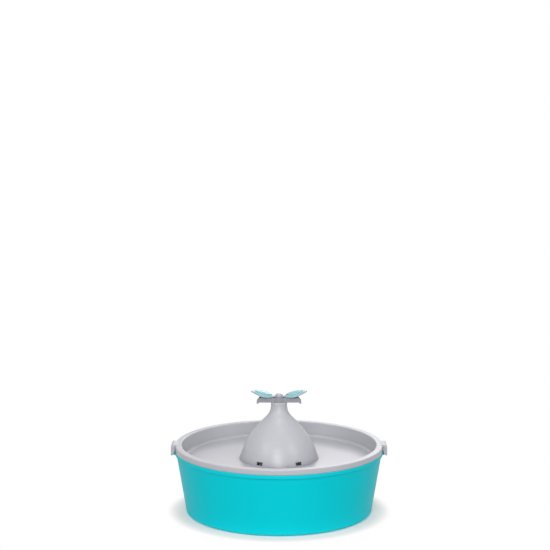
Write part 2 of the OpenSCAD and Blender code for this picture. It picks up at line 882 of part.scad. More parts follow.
module pan_sheet() {
    in_r = pan_r - dish_wall;
    skin = dish_wall;
    rotate_extrude($fn = 180)
        translate([0, lip_z])
            polygon(concat(
                [[0, -dish_depth]],
                arc([pan_r - 5.2, -dish_depth + 3.5], 3.5, -90, 0),
                [[pan_r, -lip_h], [pan_r, -skin], [bowl_rim_r - skin, -skin], [bowl_rim_r - skin, -lip_h]],
                [[bowl_rim_r, -lip_h]],
                arc([bowl_rim_r - 1, -1], 1, 0, 90, 4),
                arc([in_r + 0.6, -0.6], 0.6, 90, 180, 3),
                arc([in_r - 5.5, -dish_depth + skin + 4.2], 4, 0, -90),
                [[0, -dish_depth + skin + 0.2]]
            ));
}

module dome_solid(w) {
    steps = 8;
    rotate_extrude()
        polygon(concat(
            [[0, dish_floor_z - (w > 0 ? cut : 0)], [dome_foot_r - w, dish_floor_z - (w > 0 ? cut : 0)]],
            [for (i = [steps : -1 : 0]) inset(bulge, w, steps)[i]],
            [for (i = [steps - 1 : -1 : 0]) inset(flare, w, steps)[i]],
            w > 0 ? [[0, neck_top - 5]] : [[neck_r, neck_top - 0.6], [neck_r - 0.6, neck_top], [0, neck_top]]
        ));
}

module hood_solid(w) {
    r = hood_in_r + dish_wall - w;
    top = hood_in_top + dish_wall - w;
    base = dish_floor_z - (w > 0 ? cut : 0);
    edge = hood_edge - w / 2;
    translate([hood_x, hood_y, 0])
        rotate_extrude()
            polygon(concat([[0, base], [r, base]], arc([r - edge, top - edge], edge, 0, 90, 8), [[0, top]]));
}

// A hook hangs outside the bowl's rim and closes over its lug, with an arch in each cheek for the rim.
module dish_hook() {
    clear_r = bowl_rim_r + fit;
    arch_z = lip_z - lip_h;
    difference() {
        along_y(-hook_w / 2, hook_w)
            polygon(concat(
                [[bowl_rim_r - 3, arch_z + snug], [bowl_rim_r - 3, lip_z]],
                arc([hook_r - 2.6, lip_z - 1.8], 2.6, 90, 0),
                [[hook_r, lip_z - hook_drop], [hook_r - 2, lip_z - hook_drop]],
                [[clear_r + 0.5, lip_z - hook_drop + 2.6], [clear_r, arch_z - 0.6], [clear_r, arch_z + snug]]
            ));
        translate([bowl_rim_r - 4, -hook_w / 2 + hook_wall, lip_z - hook_drop - cut])
            cube([hook_inner_r - bowl_rim_r + 4, hook_w - 2 * hook_wall, hook_drop - 2 + cut]);
    }
}

module dish() {
    color("lightgray")
        difference() {
            union() {
                difference() {
                    union() {
                        pan_sheet();
                        dome_solid(0);
                        hood_solid(0);
                    }
                    dome_solid(dish_wall);
                    hood_solid(dish_wall);
                }
                dish_hook();
                mirror([1, 0, 0])
                    dish_hook();
                translate([0, 0, sleeve_z])
                    cylinder(h = neck_top - 1 - sleeve_z, r = neck_r);
            }
            translate([0, 0, sleeve_z - cut])
                cylinder(h = neck_top - sleeve_z + 2 * cut, r = neck_bore_r);
            for (i = [0 : drain_count - 1])
                rotate(-90 + (i + 0.5) * 360 / drain_count)
                    translate([dome_foot_r - 8, -3.5, pan_floor_top + 1])
                        cube([12, 7, 3.5]);
        }
}

// ---- Topper ----

module spout() {
    root = stem_r - 2;
    along = spout_reach - root;
    difference() {
        translate([root, -spout_w / 2, neck_top])
            cube([along, spout_w, spout_h]);
        translate([root - cut, -spout_w / 2 + spout_wall, neck_top + spout_wall])
            cube([along + 2 * cut, spout_w - 2 * spout_wall, spout_h]);
        translate([spout_reach, -spout_w, neck_top + 1])
            rotate([0, -38, 0])
                cube([2 * spout_h, 2 * spout_w, 3 * spout_h]);
    }
    translate([spout_reach - 2.2, -spout_w / 2, neck_top - 1.2])
        cube([2.2, spout_w, 1.4]);
}

// A leaf is part of a sheet crowned both ways, cut to a lens outline and tilted up from the hub.
module leaf(t, lift, shrink) {
    long = (wing_reach - leaf_x) / cos(wing_tilt);
    half = wing_half_w - shrink;
    arc_r = (pow(long / 2 - shrink * 2.4, 2) + half * half) / (2 * half);
    middle = [leaf_bow_r - leaf_bend_r, 0];
    translate([leaf_x, 0, hub_top - leaf_seat])
        rotate([0, -wing_tilt, 0])
            intersection() {
                translate([long / 2, 0, -sqrt(leaf_bow_r * leaf_bow_r - long * long / 4)])
                    rotate([90, 0, 0])
                        rotate_extrude($fn = 180)
                            polygon(concat(
                                arc(middle, leaf_bend_r + lift, leaf_half_turn, -leaf_half_turn, 16),
                                arc(middle, leaf_bend_r + lift + t, -leaf_half_turn, leaf_half_turn, 16)
                            ));
                translate([long / 2, 0, -wing_half_w])
                    linear_extrude(wing_half_w + 6)
                        intersection() {
                            translate([0, arc_r - half])
                                circle(arc_r, $fn = 120);
                            translate([0, half - arc_r])
                                circle(arc_r, $fn = 120);
                        }
            }
}

module topper_stem() {
    color("silver")
        difference() {
            union() {
                translate([0, 0, stem_bottom])
                    cylinder(h = neck_top + spout_h - stem_bottom, r = stem_r);
                translate([0, 0, hub_top - hub_h])
                    cylinder(h = hub_h, r = hub_r);
                for (m = [0, 1])
                    mirror([m, 0, 0]) {
                        spout();
                        leaf(leaf_t, 0, 0);
                    }
            }
            translate([0, 0, stem_bottom - cut])
                cylinder(h = neck_top + spout_h - 1.5 - stem_bottom + cut, r = stem_r - stem_wall);
            for (m = [0, 1])
                mirror([m, 0, 0])
                    translate([0, -spout_w / 2 + spout_wall, neck_top + spout_wall])
                        cube([stem_r + 1, spout_w - 2 * spout_wall, spout_h - spout_wall - 1.5]);
            translate([-slot_w / 2, -stem_r - cut, neck_top - slot_h])
                difference() {
                    cube([slot_w, stem_r, slot_h]);
                    translate([slit, -cut, slit])
                        cube([slot_w - 2 * slit, stem_r + 2 * cut, slot_h]);
                }
        }
}

module wing() {
    color("paleturquoise")
        leaf(inlay_t, leaf_t + 0.04, 1.7);
}

module right_wing() {
    wing();
}

module left_wing() {
    mirror([1, 0, 0])
        wing();
}

module topper_cap() {
    color("silver")
        translate([0, 0, hub_top])
            rotate_extrude()
                polygon(concat([[0, 0], [cap_r, 0]], arc([cap_r - 2.5, 0.5], 2.5, 0, 90), [[0, 3]]));
}

bowl();
foot_pads();
cord_grommet();
cord_lead();
cord_coil();
cord_tail();
coil_tie();
dc_connector();
pump_case();
intake_cover();
chamber_plate();
rear_cap();
suction_feet();
pump_shaft();
shaft_bushes();
stator_core();
stator_coil();
potting();
strain_relief();
rotor_magnet();
impeller();
foam_filter();
filter_cup();
nozzle_seal();
cartridge_shell();
carbon_media();
top_screen();
bottom_screen();
filter_housing();
collar_seal();
dish();
topper_stem();
left_wing();
right_wing();
topper_cap();
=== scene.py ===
import math

import bmesh
import bpy
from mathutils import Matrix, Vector, noise


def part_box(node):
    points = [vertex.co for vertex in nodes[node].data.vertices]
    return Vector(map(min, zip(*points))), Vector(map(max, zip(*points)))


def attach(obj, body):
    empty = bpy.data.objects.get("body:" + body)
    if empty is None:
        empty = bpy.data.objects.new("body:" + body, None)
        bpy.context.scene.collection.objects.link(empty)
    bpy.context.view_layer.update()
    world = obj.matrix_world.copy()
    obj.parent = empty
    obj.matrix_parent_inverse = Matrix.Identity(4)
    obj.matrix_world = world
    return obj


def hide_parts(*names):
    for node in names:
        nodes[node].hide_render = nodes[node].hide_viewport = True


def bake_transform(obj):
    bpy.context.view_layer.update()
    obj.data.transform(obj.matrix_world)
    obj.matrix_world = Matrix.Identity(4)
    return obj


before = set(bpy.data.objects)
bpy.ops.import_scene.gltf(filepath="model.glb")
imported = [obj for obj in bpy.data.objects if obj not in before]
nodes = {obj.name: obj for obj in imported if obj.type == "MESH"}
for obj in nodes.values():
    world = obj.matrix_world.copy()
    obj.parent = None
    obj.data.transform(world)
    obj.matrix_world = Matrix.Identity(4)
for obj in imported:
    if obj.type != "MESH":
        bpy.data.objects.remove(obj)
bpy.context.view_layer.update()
mm = 0.001
weld = 1e-6  # points nearer than this become one
print("frame loaded:", len(nodes), "nodes")


def link(name, mesh, *materials):
    piece = bpy.data.objects.new(name, mesh)
    bpy.context.scene.collection.objects.link(piece)
    for material in materials:
        piece.data.materials.append(material)
    return piece


def smooth(mesh, angle=None):
    mesh.polygons.foreach_set("use_smooth", [True] * len(mesh.polygons))
    if angle is not None:
        mesh.set_sharp_from_angle(angle=math.radians(angle))


def meshFrom(name, shape, angle=35):
    bmesh.ops.remove_doubles(shape, verts=shape.verts, dist=weld)
    bmesh.ops.recalc_face_normals(shape, faces=shape.faces)
    mesh = bpy.data.meshes.new(name)
    shape.to_mesh(mesh)
    shape.free()
    smooth(mesh, angle)
    return mesh


def settled(piece):  # turns the piece's modifiers into its mesh
    bpy.context.view_layer.update()
    depsgraph = bpy.context.evaluated_depsgraph_get()
    evaluated = piece.evaluated_get(depsgraph)
    piece.data = bpy.data.meshes.new_from_object(evaluated, depsgraph=depsgraph)
    piece.modifiers.clear()
    return piece.data


def bezier(ends, t):
    a, b, c, d = (Vector(p) for p in ends)
    return (1 - t) ** 3 * a + 3 * (1 - t) ** 2 * t * b + 3 * (1 - t) * t * t * c + t ** 3 * d


def ease(t):
    t = min(max(t, 0), 1)
    return t * t * (3 - 2 * t)


class Value:  # a socket that takes part in plain arithmetic
    def __init__(self, graph, socket):
        self.graph, self.socket = graph, socket

    def math(self, operation, first, second=0.0):
        return self.graph.node("ShaderNodeMath", {"operation": operation}, {0: first, 1: second})

    def __add__(self, other):
        return self.math("ADD", self, other)

    def __radd__(self, other):
        return self.math("ADD", other, self)

    def __sub__(self, other):
        return self.math("SUBTRACT", self, other)

    def __mul__(self, other):
        return self.math("MULTIPLY", self, other)

    def __truediv__(self, other):
        return self.math("DIVIDE", self, other)

    def sine(self):
        return self.math("SINE", self)

    def root(self):
        return self.math("SQRT", self)


class Graph:  # a node tree that is written from values
    def __init__(self, tree):
        self.tree = tree

    def node(self, kind, settings=None, values=None, out=0):
        made = self.tree.nodes.new(kind)
        for name, value in (settings or {}).items():
            setattr(made, name, value)
        for name, value in (values or {}).items():
            for item in value if isinstance(value, list) else [value]:
                if isinstance(item, Value):
                    self.tree.links.new(item.socket, made.inputs[name])
                elif item is not None:
                    made.inputs[name].default_value = item
        return Value(self, made.outputs[out]) if len(made.outputs) else None

    def part(self, vector, axis):
        return self.node("ShaderNodeSeparateXYZ", None, {0: vector}, "XYZ".index(axis))

    def vector(self, x, y, z):
        return self.node("ShaderNodeCombineXYZ", None, {0: x, 1: y, 2: z})

    def vectorMath(self, operation, first, second, out):
        settings = {"operation": operation}
        return self.node("ShaderNodeVectorMath", settings, {0: first, 1: second}, out)


sampling = {
    "bevelSamples": 4, "edgeBand": (0.99, 0.9),  # agreement of the rounded and the flat normal
    "creaseSamples": 6, "creaseBand": (0.8, 0.5),  # openness, for the painted shade in corners
}


class Finish(Graph):  # a material whose pattern stays fixed to the piece
    def __init__(self, name):
        self.material = bpy.data.materials.new(name)
        self.material.use_nodes = True
        super().__init__(self.material.node_tree)
        self.tree.nodes.clear()
        self.place = self.node("ShaderNodeTexCoord", None, None, "Object")
        self.rounded = None

    def noise(self, scale, detail=3.0, place=None):
        values = {"Vector": place or self.place, "Scale": scale, "Detail": detail}
        return self.node("ShaderNodeTexNoise", None, values)

    def cells(self, scale):
        return self.node("ShaderNodeTexVoronoi", None, {"Vector": self.place, "Scale": scale})

    def band(self, value, low, high):  # 0 at low, 1 at high, soft between
        return self.node(
            "ShaderNodeMapRange", {"interpolation_type": "SMOOTHSTEP"},
            {"Value": value, "From Min": low, "From Max": high},
        )

    def tint(self, factor, first, second):  # sockets of a colour mix: factor, two colours, result
        ends = [end if isinstance(end, Value) else (*end, 1) for end in (first, second)]
        values = {0: factor, 6: ends[0], 7: ends[1]}
        return self.node("ShaderNodeMix", {"data_type": "RGBA"}, values, 2)

    def stretched(self, x, y, z):
        return self.vectorMath("MULTIPLY", self.place, (x, y, z), "Vector")

    def edges(self, radius):  # 1 along sharp edges
        settings = {"samples": sampling["bevelSamples"]}
        self.rounded = self.node("ShaderNodeBevel", settings, {"Radius": radius})
        flat = self.node("ShaderNodeNewGeometry", None, None, "Normal")
        agree = self.vectorMath("DOT_PRODUCT", self.rounded, flat, "Value")
        return self.band(agree, *sampling["edgeBand"])

    def creases(self, reach):  # 1 deep in the piece's own corners and grooves, where moulded() paints shade
        settings = {"samples": sampling["creaseSamples"], "only_local": True}
        clear = self.node("ShaderNodeAmbientOcclusion", settings, {"Distance": reach}, "AO")
        return self.band(clear, *sampling["creaseBand"])

    def done(self, colour, roughness, height, depth, **fixed):
        bump = {"Height": height, "Distance": depth * mm, "Normal": self.rounded}
        normal = self.node("ShaderNodeBump", None, bump)
        names = {name.replace("_", " "): value for name, value in fixed.items()}
        values = {"Base Color": colour, "Roughness": roughness, "Normal": normal, **names}
        shader = self.node("ShaderNodeBsdfPrincipled", None, values)
        self.node("ShaderNodeOutputMaterial", None, {"Surface": shader})
        return self.material


def shade(colour, amount):
    return tuple(min(part * amount, 1.0) for part in colour)


view = {
    "lens": 114.3, "sensor": 36, "clip": (0.05, 50),
    "place": (-0.0044, -1.8707, 0.5406), "pitch": 8.4714,
}
cameraData = bpy.data.cameras.new("camera")
cameraData.lens = view["lens"]
cameraData.sensor_width = view["sensor"]
cameraData.clip_start, cameraData.clip_end = view["clip"]
camera = bpy.data.objects.new("camera", cameraData)
camera.location = view["place"]
camera.rotation_euler = (math.radians(90 - view["pitch"]), 0, 0)
bpy.context.scene.collection.objects.link(camera)
bpy.context.scene.camera = camera

cordShape = {  # in millimetres and degrees
    "width": 3.3,
    "sides": 10,
    "sharp": 60,  # edges from this angle on aren't smoothed
    "lie": 1.7,  # height of the middle of the cord on the floor
    "steps": {"swing": 24, "loop": 14, "bend": 8, "leave": 10},
    "swing": [(26, 0, 24.5), (66, 0, 24.5), (14, 45.2, 30), (14, 45.2, 46)],
    "rise": (52, 59, 66),  # heights on the way up to the loop
    "loop": (7, 45.2, 74, 7),  # middle and radius of the turn over the post
    "inPost": (66, 57, 48, 39, 30, 21),  # heights on the way down
    "tunnel": (12.5, 10.8),  # height and radius of the bend at its foot
    "floorRun": (66, 76, 86, 96, 106, 117.6),  # along Y under the floor
    "entry": (-0.03, 124.5),  # where it meets the coil
    "coil": (24.094, 131.0),  # middle of the coil
    "columns": (14.25, 17.55, 20.85, 24.15),
    "rows": (1.65, 4.95, 8.25),
    "order": [  # row and column of each turn
        (0, 3), (0, 2), (0, 1), (0, 0), (1, 0), (1, 1),
        (1, 2), (1, 3), (2, 3), (2, 2), (2, 1), (2, 0),
    ],
    "perTurn": 40,
    "shift": (300, 60),  # where in a turn it starts towards the next place, and over how far
    "lastTurn": 265,
    "over": (275, 240, 150, 112, 66),  # angles of its climb, crossing, drop, settling and leaving
    "overSteps": (7, 15, 8, 10),
    "outside": (27.45, 0.16),  # radius outside the coil, and its growth
    "pull": 6,
    "plugEnd": ((47.09, 150, 4.2), (52.09, 150, 4.2), (53.99, 150, 4.2)),
}


def cordRoute():
    c = cordShape
    width, lie = c["width"], c["lie"]
    steps = c["steps"]
    points = [bezier(c["swing"], i / steps["swing"]) for i in range(steps["swing"] + 1)]
    loopX, loopY, loopZ, loopR = c["loop"]
    points += [Vector((loopX + loopR, loopY, z)) for z in (*c["rise"], loopZ)]
    for i in range(1, steps["loop"] + 1):
        a = math.pi * i / steps["loop"]
        points.append(Vector((loopX + loopR * math.cos(a), loopY, loopZ + loopR * math.sin(a))))
    footZ, footR = c["tunnel"]
    points += [Vector((0, loopY, z)) for z in (*c["inPost"], footZ)]
    for i in range(1, steps["bend"] + 1):
        a = math.pi / 2 * i / steps["bend"]
        points.append(Vector((0, loopY + footR * (1 - math.cos(a)), footZ - footR * math.sin(a))))
    points += [Vector((0, y, lie)) for y in c["floorRun"]]
    points.append(Vector((*c["entry"], lie)))
    centreX, centreY = c["coil"]
    columns, rows = c["columns"], c["rows"]
    shiftFrom, shiftOver = c["shift"]

    def at(radius, z, angle):
        a = math.radians(angle)
        return Vector((centreX + radius * math.cos(a), centreY + radius * math.sin(a), z))

    for (row, column), after in zip(c["order"], c["order"][1:] + [None]):
        radius, z = columns[column], rows[row]
        for turned in (360 / c["perTurn"] * i for i in range(c["perTurn"])):
            if after is None and turned > c["lastTurn"]:
                break
            angle = 180 - turned
            s = ease((turned - shiftFrom) / shiftOver)
            if after is None or s == 0:
                points.append(at(radius, z, angle))
            elif after[0] == row:
                points.append(at(radius + (columns[after[1]] - radius) * s, z, angle))
            else:  # up to the next row, clear of both neighbours
                rise = z + width * s
                low = math.sqrt(max(width ** 2 - (rise - z) ** 2, 0))
                high = math.sqrt(max(width ** 2 - (z + width - rise) ** 2, 0))
                if column == 0:
                    across = min(columns[1] - width * s - low, columns[0] + width * s - high)
                else:
                    across = max(columns[2] + width * s + low, columns[3] - width * s + high)
                points.append(at(across, rise, angle))

    # the last turn climbs over the others to the outside, and leaves for the plug
    top = rows[2]
    climb, cross, drop, settle, leave = c["over"]
    climbs, crosses, drops, settles = c["overSteps"]
    for i in range(1, climbs + 1):
        a = math.pi - math.pi / 2 * i / climbs
        angle = climb - (climb - cross) * i / climbs
        points.append(at(columns[1] + width * math.cos(a), top + width * math.sin(a), angle))
    for i in range(1, crosses + 1):
        radius = columns[1] + (columns[3] - columns[1]) * i / crosses
        points.append(at(radius, top + width, cross - (cross - drop) * i / crosses))
    for i in range(1, drops + 1):
        a = math.pi / 2 * (1 - i / drops)
        angle = drop - (drop - settle) * i / drops
        points.append(at(columns[3] + width * math.cos(a), top + width * math.sin(a), angle))
    outside, growth = c["outside"]
    for i in range(1, settles + 1):
        z = top + (lie - top) * ease(i / settles)
        angle = settle - (settle - leave) * i / settles
        points.append(at(outside + growth * i / settles, z, angle))
    a = math.radians(leave)
    start = points[-1]
    away = start + c["pull"] * Vector((math.sin(a), -math.cos(a), 0))
    bend, straight, end = c["plugEnd"]
    for i in range(1, steps["leave"] + 1):
        points.append(bezier([start, away, bend, straight], i / steps["leave"]))
    points.append(Vector(end))
    return [point * mm for point in points]


def tube(name, points, radius, sides, sharp, material):
    shape = bmesh.new()
    layer = shape.loops.layers.uv.new("along")
    last = len(points) - 1
    ahead = [
        (points[min(i + 1, last)] - points[max(i - 1, 0)]).normalized() for i in range(len(points))
    ]
    side = ahead[0].orthogonal().normalized()
    rings, length = [], 0.0
    for i, point in enumerate(points):
        side = (side - ahead[i] * side.dot(ahead[i])).normalized()
        other = ahead[i].cross(side)
        length += (point - points[i - 1]).length if i else 0
        turns = [2 * math.pi * k / sides for k in range(sides)]
        spokes = [math.cos(t) * side + math.sin(t) * other for t in turns]
        rings.append(([shape.verts.new(point + radius * spoke) for spoke in spokes], length))
    for (first, low), (second, high) in zip(rings, rings[1:]):
        for k in range(sides):
            after = (k + 1) % sides
            face = shape.faces.new((first[k], first[after], second[after], second[k]))
            for loop, place in zip(face.loops, ((k, low), (k + 1, low), (k + 1, high), (k, high))):
                loop[layer].uv = (place[0] / sides, place[1])
    shape.faces.new(list(reversed(rings[0][0])))
    shape.faces.new(rings[-1][0])
    mesh = bpy.data.meshes.new(name)
    shape.to_mesh(mesh)
    shape.free()
    smooth(mesh, sharp)
    return link(name, mesh, material), length


sheath = {  # two twisted strands, their crests lighter: a painted sheen
    "dark": (0.02, 0.02, 0.022), "sheenColour": (0.12, 0.12, 0.125), "strands": 2, "twist": 11.5,
    "ridge": (-0.9, 0.9), "lit": (0.35, 0.95), "litAmount": 0.8,
    "dust": 60, "fuzz": 1500, "fuzzAmount": 0.15, "depth": 0.22, "rough": (0.38, 0.2),
}


def cordFinish():
    f = Finish("cordSheath")
    along = f.node("ShaderNodeTexCoord", None, None, "UV")
    around, far = f.part(along, "X"), f.part(along, "Y")
    turns = around + far * (1 / (sheath["twist"] * mm))
    wave = (turns * (2 * math.pi * sheath["strands"])).sine()
    dust = f.noise(sheath["dust"], 4)
    rough, uneven = sheath["rough"]
    # painted sheen along the strands' crests, mixed with dust
    lit = f.band(wave, *sheath["lit"]) * sheath["litAmount"] + dust * (1 - sheath["litAmount"])
    colour = f.tint(lit, sheath["dark"], sheath["sheenColour"])
    height = f.band(wave, *sheath["ridge"]) + f.noise(sheath["fuzz"], 2) * sheath["fuzzAmount"]
    return f.done(colour, rough + dust * uneven, height, sheath["depth"])


route = cordRoute()
cord, cordLength = tube(
    "powerCord", route, cordShape["width"] / 2 * mm, cordShape["sides"], cordShape["sharp"],
    cordFinish(),
)
print("cord:", round(cordLength, 4), "m in", len(route), "points")

studio = {
    "sky": 0.55,
    "aim": (0, 0, 0.15),
    "lamps": {  # place, size and power
        "keyLamp": ((-0.3, -2.15, 1.2), 0.8, 14.5),
        "lowLamp": ((0.1, -2.4, 0.6), 1.0, 18),
        "leftLamp": ((-1.7, -1.4, 1.6), 1.0, 9.5),
        "rightLamp": ((1.7, -1.4, 1.6), 1.0, 9),
        "topLamp": ((0.05, -0.15, 2.0), 0.6, 7),
        "backLamp": ((0.4, 2.2, 1.3), 1.2, 11),
    },
    "floorReach": 6.0, "floorSides": 96,
    # the paper near the object, tinted pink against the teal light that the bowl throws on it
    "floorNear": (0.985, 0.935, 0.925),
    "floorFar": (0.35, 0.35, 0.35),  # for the bounce alone, since that floor looks plain white
    "fades": [  # middle of each shadow, and where the floor starts and ends its change to white
        ((0, 0, 0), 0.1, 0.125),
        ((0.024, 0.131, 0), 0.026, 0.055),
    ],
}
for name, (place, size, power) in studio["lamps"].items():
    data = bpy.data.lights.new(name, "AREA")
    data.shape, data.size, data.energy = "DISK", size, power
    made = bpy.data.objects.new(name, data)
    made.location = place
    away = Vector(place) - Vector(studio["aim"])
    made.rotation_euler = away.to_track_quat("Z", "Y").to_euler()
    bpy.context.scene.collection.objects.link(made)


def seen(graph):  # 1 where the camera looks, straight, in a reflection or through
    rays = ("Is Camera Ray", "Is Glossy Ray", "Is Transmission Ray")
    straight, glossy, through = (graph.node("ShaderNodeLightPath", None, None, ray) for ray in rays)
    return straight + glossy + through


world = bpy.data.worlds.new("studio")
world.use_nodes = True
world.node_tree.nodes.clear()
sky = Graph(world.node_tree)
level = seen(sky) * (1 - studio["sky"]) + studio["sky"]
glow = sky.node("ShaderNodeBackground", None, {"Color": (1, 1, 1, 1), "Strength": level})
sky.node("ShaderNodeOutputWorld", None, {"Surface": glow})
bpy.context.scene.world = world
bpy.context.scene.view_settings.view_transform = "Standard"

f = Finish("floorPaper")
white = f.node("ShaderNodeEmission", None, {"Color": (1, 1, 1, 1), "Strength": 1.0})
far = 1.0
for middle, near, end in studio["fades"]:
    away = f.vectorMath("DISTANCE", f.place, middle, "Value")
    far = f.band(away, near, end) * far
shades = f.tint(far, studio["floorNear"], studio["floorFar"])
paper = f.node("ShaderNodeBsdfDiffuse", None, {"Color": shades})
mixed = f.node("ShaderNodeMixShader", None, {0: far * seen(f), 1: paper, 2: white})
f.node("ShaderNodeOutputMaterial", None, {"Surface": mixed})
shape = bmesh.new()
bmesh.ops.create_circle(
    shape, cap_ends=True, segments=studio["floorSides"], radius=studio["floorReach"]
)
floor = link("floor", meshFrom("floor", shape), f.material)
print("camera, cord, lights and floor made")


skin = {  # noise scales, amounts and depth of a moulded surface
    "cloud": 22, "worn": 260, "scuffs": 75, "grain": 1400, "waves": 90,
    "scuffBand": (0.6, 0.75),
    "rimWear": 4,
    "pale": 0.35,  # how far a worn spot goes towards white
    "dark": 0.3,  # what is left of the colour in a crease, under the painted shade
    "grainAmount": 0.6, "waveAmount": 0.5, "depth": 0.03,
    "smoother": 0.05, "cloudRough": 0.1, "scuffRough": 0.07,
    "rimCoat": 0.5, "coatRough": 0.2,
}


def moulded(
    name, colour, rough=0.4, grain=0.6, spread=0.04, wear=0.08, edge=0.35, shine=0.5,
    paintedShade=0.5, reach=2.5, lines=None,
):
    f, s = Finish(name), skin
    cloud = f.noise(s["cloud"], 4)
    rim = f.edges(edge * mm)
    worn = rim * f.noise(s["worn"], 3)
    scuffs = f.band(f.noise(s["scuffs"], 7), *s["scuffBand"])
    base = f.tint(cloud, shade(colour, 1 - spread), shade(colour, 1 + spread))
    pale = tuple(part + (1 - part) * s["pale"] for part in colour)
    base = f.tint(worn * wear * s["rimWear"] + scuffs * wear, base, pale)
    # painted shade: darker in the piece's own corners and grooves, where light falls less
    base = f.tint(f.creases(reach * mm) * paintedShade, base, shade(colour, s["dark"]))
    waves = f.noise(s["waves"], 2) * s["waveAmount"]
    height = f.noise(s["grain"] / grain, 2) * s["grainAmount"] + waves
    if lines:
        base, height = lines(f, base, height)
    uneven = cloud * s["cloudRough"] + scuffs * s["scuffRough"]
    return f.done(
        base, rough - s["smoother"] + uneven, height, s["depth"] * grain,
        Specular_IOR_Level=shine, Coat_Weight=rim * s["rimCoat"], Coat_Roughness=s["coatRough"],
    )


caseLines = {
    "boss": 1.9,  # height of the outlet above the case
    "outlet": (0.1, 0.3),  # band over which it starts, above the case's top
    "upper": (-0.2, -0.1),  # band over which the top starts
    "seam": 0.5,  # height of the parting line, as a part of the case's
    "seamWidth": 0.35,
    "ridgePitch": 1.5,
    "topShade": (0.25, 0.25, 0.26), "darkShade": (0.006, 0.006, 0.006),
    "seamHighlight": (0.16, 0.16, 0.17),
    "topTint": 0.75, "ribbedTint": 0.6, "outletTint": 0.9, "seamHighlightTint": 0.5,
    "seamHeight": 4, "ridgeHeight": 1.5,
}


def linesOnCase(f, base, height):  # a parting line with a painted highlight, a dark ribbed half and outlet, a ridged top
    s = caseLines
    low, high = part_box("pump_case")
    top = high.z - s["boss"] * mm
    middle = low.z + (top - low.z) * s["seam"]
    half = s["seamWidth"] * mm
    z = f.part(f.place, "Z")
    seam = f.band(z, middle - half, middle) * f.band(z, middle + half, middle)
    bands = ([top + edge * mm for edge in s[key]] for key in ("outlet", "upper"))
    outlet, upper = (f.band(z, *ends) for ends in bands)
    ribbed = f.band(z, middle, middle - half)
    turns = f.part(f.place, "X") * (2 * math.pi / (s["ridgePitch"] * mm))
    base = f.tint(upper * s["topTint"], base, s["topShade"])
    dark = ribbed * s["ribbedTint"] + outlet * s["outletTint"]
    base = f.tint(dark, base, s["darkShade"])
    # painted highlight: the parting line lighter, where light would catch the top edge of the
    # ribbed half
    base = f.tint(seam * s["seamHighlightTint"], base, s["seamHighlight"])
    return base, height + seam * s["seamHeight"] + turns.sine() * upper * s["ridgeHeight"]


leafToneAndHighlight = {
    # partly the inlays' teal, partly a painted highlight
    "colour": (0.27, 0.445, 0.48),
    "out": 1.5,  # start beyond the cap's edge
    "below": 1.05,  # start below the cap's foot
    "soft": 0.12,
}


def paintLeafToneAndHighlight(f, base, height):  # the sheets under the inlays, out from the hub: a lighter teal, partly their tone, partly a painted highlight
    low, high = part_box("topper_cap")
    x, z = f.part(f.place, "X"), f.part(f.place, "Z")
    out, up = high.x + leafToneAndHighlight["out"] * mm, low.z - leafToneAndHighlight["below"] * mm
    soft = leafToneAndHighlight["soft"] * mm
    leaf = f.band((x * x).root(), out, out + soft) * f.band(z, up, up + soft)
    return f.tint(leaf, base, leafToneAndHighlight["colour"]), height


rubber = {
    "dust": 110, "dustBand": (0.45, 0.75), "grain": 1700, "depth": 0.05,
    "edge": 0.3, "edgeAmount": 0.3, "dustAmount": 0.5, "dustRough": 0.15,
    "dusty": (0.8, 0.09),  # what is left of the colour, and the grey added
}


def rubbery(name, colour, rough=0.6):
    f, s = Finish(name), rubber
    dust = f.band(f.noise(s["dust"], 6), *s["dustBand"])
    kept, grey = s["dusty"]
    worn = dust * s["dustAmount"] + f.edges(s["edge"] * mm) * s["edgeAmount"]
    base = f.tint(worn, colour, tuple(part * kept + grey for part in colour))
    return f.done(base, rough + dust * s["dustRough"], f.noise(s["grain"], 3), s["depth"])


